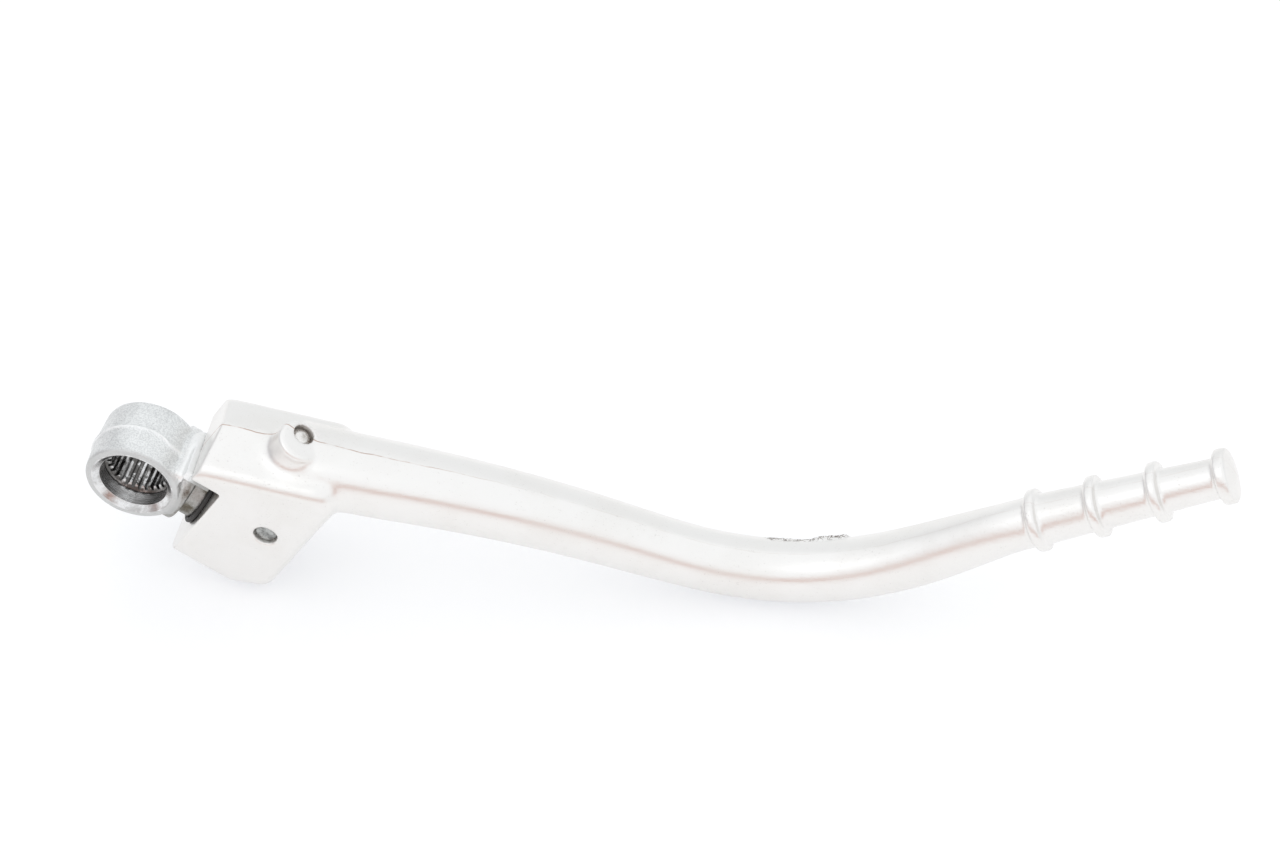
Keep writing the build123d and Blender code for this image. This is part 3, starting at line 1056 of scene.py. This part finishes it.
@dataclass
class JointPiece:
    """Joint piece: forged ring, neck, collar and shank, and the turned and toothed bore; lengths in mm."""

    skin: ForgedSteel = ForgedSteel()
    turned: TurnedSteel = TurnedSteel()
    fold: FoldFrame = field(default_factory=FoldFrame)
    voxel: float = 0.3
    smooth_angle: float = 32.0
    edge_passes: int = 4

    bore_radius: float = 10.6
    bore_sides: int = 160
    bore_spare: float = 0.2  # length of the cylinder past the ring
    ring_length: float = 17.4
    ring_radius: float = 12.9
    outside_from: Span = (11.8, 12.2)
    outside_to: Span = (13.1, 13.4)
    rim_depth: Span = (0.3, 0.75)
    rim_edge: float = 0.2

    corner_reach: Span = (1.0, 3.0)
    corner_start: Span = (1.0, 4.0)
    corner_passes: int = 40
    collar_start: float = 9.4
    collar_fade: float = 1.0
    flange_start: Span = (6.4, 8.0)
    flange_fade: float = 0.6
    flange_height: Span = (4.0, 6.0)
    root_start: float = 10.4
    root_fade: float = 2.2

    ridge_height: float = 0.24
    ridge_half: float = 0.42
    ridge_line: tuple[Span, ...] = (
        (-180.0, -1.2),
        (20.0, -1.2),
        (38.0, -1.9),
        (47.0, -2.0),
        (54.0, -1.4),
        (61.0, -0.95),
        (70.0, -0.7),
        (95.0, -0.8),
        (121.0, -1.1),
        (130.0, -1.7),
        (140.0, -2.2),
        (180.0, -1.2),
    )

    def build(self) -> tuple[Piece, Piece]:
        """Models the joint piece over copies of its solid.

        Returns:
            The forging and the piece that holds the bore.
        """
        core = self._core()
        forging = merged_copy(Node.JOINT_PIECE, "forged_joint")
        remesh(forging, self.voxel)
        self._soften(forging)
        self._raise_ridge(forging)
        apply_modifier(forging, "BOOLEAN", operation="DIFFERENCE", object=core, solver="EXACT")
        bore = merged_copy(Node.JOINT_PIECE, "toothed_bore")
        apply_modifier(bore, "BOOLEAN", operation="INTERSECT", object=core, solver="EXACT")
        bpy.data.objects.remove(core)
        self._store_fields(forging)
        for piece in (forging, bore):
            take(piece)
            bpy.ops.object.shade_smooth_by_angle(angle=math.radians(self.smooth_angle))
            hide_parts(Node.JOINT_PIECE.value)
            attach(piece, Body.SHAFT_JOINT.value)
        return forging, bore

    def dress(self, forging: Piece, bore: Piece, effects: Effects) -> None:
        """Gives the forging and the bore their finishes.

        Args:
            forging: the forged skin.
            bore: the piece that holds the bore.
            effects: the shared node groups.
        """
        paint(forging, self.skin.make(effects))
        paint(bore, self.turned.make(effects))

    def _core(self) -> Piece:
        """Makes the cylinder through the ring that parts the machined bore from the forging.

        Returns:
            The cylinder, which is removed after use.
        """
        bpy.ops.object.select_all(action="DESELECT")
        bpy.ops.mesh.primitive_cylinder_add(
            vertices=self.bore_sides,
            radius=self.bore_radius * MM,
            depth=(self.ring_length + self.bore_spare) * MM,
            rotation=(math.pi / 2, 0.0, 0.0),
        )
        bpy.ops.object.transform_apply(location=True, rotation=True, scale=True)
        return bpy.context.active_object

    def _soften(self, piece: Piece) -> None:
        """Rounds the forged edges and runs the neck into the ring.

        Args:
            piece: the active piece.
        """
        points = points_of(piece)
        u, _, _ = self.fold.coordinates(points)
        away = np.abs(np.hypot(points[:, 0], points[:, 2]) - self.ring_radius)
        corner = fall(away, *self.corner_reach) * rise(u, *self.corner_start)
        corner = corner * fall(u, self.collar_start, self.collar_start + self.collar_fade)
        smooth(piece, "all_over", np.ones(len(points)), self.edge_passes)
        smooth(piece, "corner", corner, self.corner_passes)
        piece.vertex_groups.clear()

    def _ridge_share(self, points: np.ndarray) -> tuple[np.ndarray, np.ndarray]:
        """Where the ring's outside is, and how close each point lies to its trimmed flash.

        Args:
            points: rows of x, y and z in millimetres.

        Returns:
            Two arrays of numbers from 0 to 1.
        """
        radius = np.hypot(points[:, 0], points[:, 2])
        outside = rise(radius, *self.outside_from) * fall(radius, *self.outside_to)
        line = np.array(self.ridge_line)
        angle = np.degrees(np.arctan2(points[:, 2], points[:, 0]))
        away = points[:, 1] - np.interp(angle, line[:, 0], line[:, 1])
        return outside, np.exp(-((away / self.ridge_half) ** 2))

    def _raise_ridge(self, piece: Piece) -> None:
        """Lowers the ring's outside on both sides of the trimmed flash, which is left standing.

        Args:
            piece: the active piece.
        """
        outside, ridge = self._ridge_share(points_of(piece))
        swell(piece, "beside_ridge", outside * (1.0 - ridge), -self.ridge_height)
        piece.vertex_groups.clear()

    def _store_fields(self, piece: Piece) -> None:
        """Stores the trimmed ridge and the flange for painted highlights, the root for oil and painted shade,
        and the faced mouth, for the finish.

        Args:
            piece: the active piece.
        """
        points = points_of(piece)
        outside, ridge = self._ridge_share(points)
        u, _, w = self.fold.coordinates(points)
        neck = rise(u, *self.flange_start) * fall(u, self.root_start - self.flange_fade, self.root_start)
        keep_field(piece, "ridge", outside * ridge)
        # the shank's length past the collar, for oil and painted shade
        keep_field(piece, "root", rise(u, self.root_start, self.root_start + self.root_fade))
        # where the flange's painted highlight goes
        keep_field(piece, "flange", neck * rise(w, *self.flange_height) * (1.0 - outside))
        radius = np.hypot(points[:, 0], points[:, 2])
        shallow, deep = self.rim_depth
        mouth = -self.ring_length / 2
        rim = fall(points[:, 1], mouth + shallow, mouth + deep)
        rim = rim * fall(radius, self.ring_radius - self.rim_edge, self.ring_radius + self.rim_edge)
        keep_field(piece, "mouth", rim)


class SmallParts:
    """Pin, detent and seal: their solids keep their shape."""

    finishes: dict[Node, PlainSteel | BlackRubber] = {
        Node.RETAINING_PIN: PlainSteel("dark_pin", (0.46, 0.47, 0.46), (0.16, 0.16, 0.155), 0.3),
        Node.DETENT_PLUG: PlainSteel("polished_plug", (0.80, 0.785, 0.76), (0.52, 0.49, 0.455), 0.27),
        Node.DETENT_SPRING: PlainSteel("spring_wire", (0.55, 0.54, 0.52), (0.30, 0.28, 0.26), 0.3),
        Node.DETENT_BALL: PlainSteel("bearing_ball", (0.78, 0.78, 0.77), (0.62, 0.61, 0.60), 0.1),
        Node.SHANK_SEAL: BlackRubber(),
    }

    def dress(self, effects: Effects) -> None:
        """Gives each small part its finish.

        Args:
            effects: the shared node groups.
        """
        for node, finish in self.finishes.items():
            paint(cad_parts[node.value], finish.make(effects))


@dataclass
class Studio:
    """Pale floor, soft light and the camera."""

    lens: float = 85.0
    sensor: float = 36.0
    clip_start: float = 0.01
    clip_end: float = 50.0
    azimuth: float = 11.98
    elevation: float = 46.56
    across: float = 125.10
    above: float = 8.20
    distance: float = 760.5

    softbox_side: float = 0.6
    softbox_watts: float = 0.35
    softbox_place: Place = (-0.30, -0.45, 0.85)
    softbox_aim: Place = (0.12, 0.0, 0.0)

    floor_side: float = 12.0
    floor_roughness: float = 0.9
    floor_paint: Colour = (0.64, 0.605, 0.555)
    floor_glow: Colour = (0.385, 0.42, 0.475)

    room_low: Colour = (0.93, 0.95, 0.965)
    room_high: Colour = (1.075, 1.095, 1.115)
    room_height: Span = (0.10, 0.36)  # from the low colour to the high one
    room_back: Span = (-0.2, 0.4)  # from front to back
    room_back_ends: Span = (0.0, 0.32)  # how much higher the step lies in front and at the back
    left_wall: Colour = (0.47, 0.455, 0.48)
    left_reach: Span = (-0.9, -0.55)
    left_ends: Span = (0.85, 0.0)
    left_height: Span = (0.15, 0.55)
    warm_wall: Colour = (0.60, 0.33, 0.25)
    warm_reach: Span = (-0.85, -0.35)
    warm_height: Span = (0.10, 0.30)

    def build(self) -> None:
        """Sets up the whole studio."""
        self._floor()
        self._world()
        self._softbox()
        self._camera()
        bpy.context.scene.view_settings.view_transform = "Standard"

    def _floor(self) -> None:
        """Lays the floor under the lever's lowest point; it glows a little where rays see it."""
        bpy.ops.object.select_all(action="DESELECT")
        bpy.ops.mesh.primitive_plane_add(size=self.floor_side, location=(0, 0, CAD_BOX[0].z))
        floor = bpy.context.active_object
        floor.name = "floor"
        material, sheet, shader = new_material("white_floor")
        shader.inputs["Base Color"].default_value = (*self.floor_paint, 1.0)
        shader.inputs["Roughness"].default_value = self.floor_roughness
        shader.inputs["Specular IOR Level"].default_value = 0.0
        rays = sheet.add("ShaderNodeLightPath")
        seen = sheet.math("ADD", rays.outputs["Is Camera Ray"], rays.outputs["Is Glossy Ray"])
        seen = sheet.math("ADD", seen, rays.outputs["Is Transmission Ray"], clamp=True)
        shader.inputs["Emission Color"].default_value = (*self.floor_glow, 1.0)
        sheet.put(shader.inputs["Emission Strength"], seen)
        floor.data.materials.append(material)

    def _world(self) -> None:
        """Makes a pale room round the floor, bright above, dark low on the left and warm low in front."""
        world = bpy.data.worlds.new("pale_room")
        bpy.context.scene.world = world
        world.use_nodes = True
        world.node_tree.nodes.clear()
        sheet = NodeSheet(world.node_tree)
        x, y, z = sheet.axes(sheet.add("ShaderNodeTexCoord").outputs["Generated"])
        height = sheet.math("SUBTRACT", z, sheet.step(y, self.room_back, self.room_back_ends))
        left = sheet.step(x, self.left_reach, self.left_ends)
        left = sheet.times(left, sheet.step(z, self.left_height, FALLING))
        warm = sheet.step(y, self.warm_reach, FALLING)
        warm = sheet.times(warm, sheet.step(z, self.warm_height, FALLING))
        colour = sheet.blend(sheet.step(height, self.room_height), self.room_low, self.room_high)
        colour = sheet.blend(left, colour, self.left_wall)
        colour = sheet.blend(warm, colour, self.warm_wall)
        light = sheet.add("ShaderNodeBackground")
        sheet.put(light.inputs["Color"], colour)
        surface = sheet.add("ShaderNodeOutputWorld")
        sheet.put(surface.inputs["Surface"], light.outputs[0])

    def _softbox(self) -> None:
        """Hangs a soft lamp over the lever."""
        lamp = bpy.data.lights.new("softbox", "AREA")
        lamp.size = self.softbox_side
        lamp.energy = self.softbox_watts
        box = bpy.data.objects.new("softbox", lamp)
        box.location = self.softbox_place
        aim = Vector(self.softbox_aim) - box.location
        box.rotation_euler = aim.to_track_quat("-Z", "Y").to_euler()
        bpy.context.scene.collection.objects.link(box)

    def _camera(self) -> None:
        """Places the camera as the photograph's was."""
        turn, tip = math.radians(self.azimuth), math.radians(self.elevation)
        back = Vector((math.sin(turn) * math.cos(tip), -math.cos(turn) * math.cos(tip), math.sin(tip)))
        right = Vector((math.cos(turn), math.sin(turn), 0.0))
        up = back.cross(right)
        data = bpy.data.cameras.new("camera")
        data.lens = self.lens
        data.sensor_width = self.sensor
        data.clip_start = self.clip_start
        data.clip_end = self.clip_end
        camera = bpy.data.objects.new("camera", data)
        place = (right * self.across + up * self.above + back * self.distance) * MM
        camera.matrix_world = Matrix.Translation(place) @ Matrix((right, up, back)).transposed().to_4x4()
        bpy.context.scene.collection.objects.link(camera)
        bpy.context.scene.camera = camera


def main() -> None:
    """Builds, dresses and lights the lever."""
    logging.basicConfig(level=logging.INFO, format="%(message)s")
    effects = Effects()
    arm = KickArm()
    arm.dress(arm.build(), effects)
    joint = JointPiece()
    joint.dress(*joint.build(), effects)
    SmallParts().dress(effects)
    Studio().build()


if __name__ == "__main__":
    main()
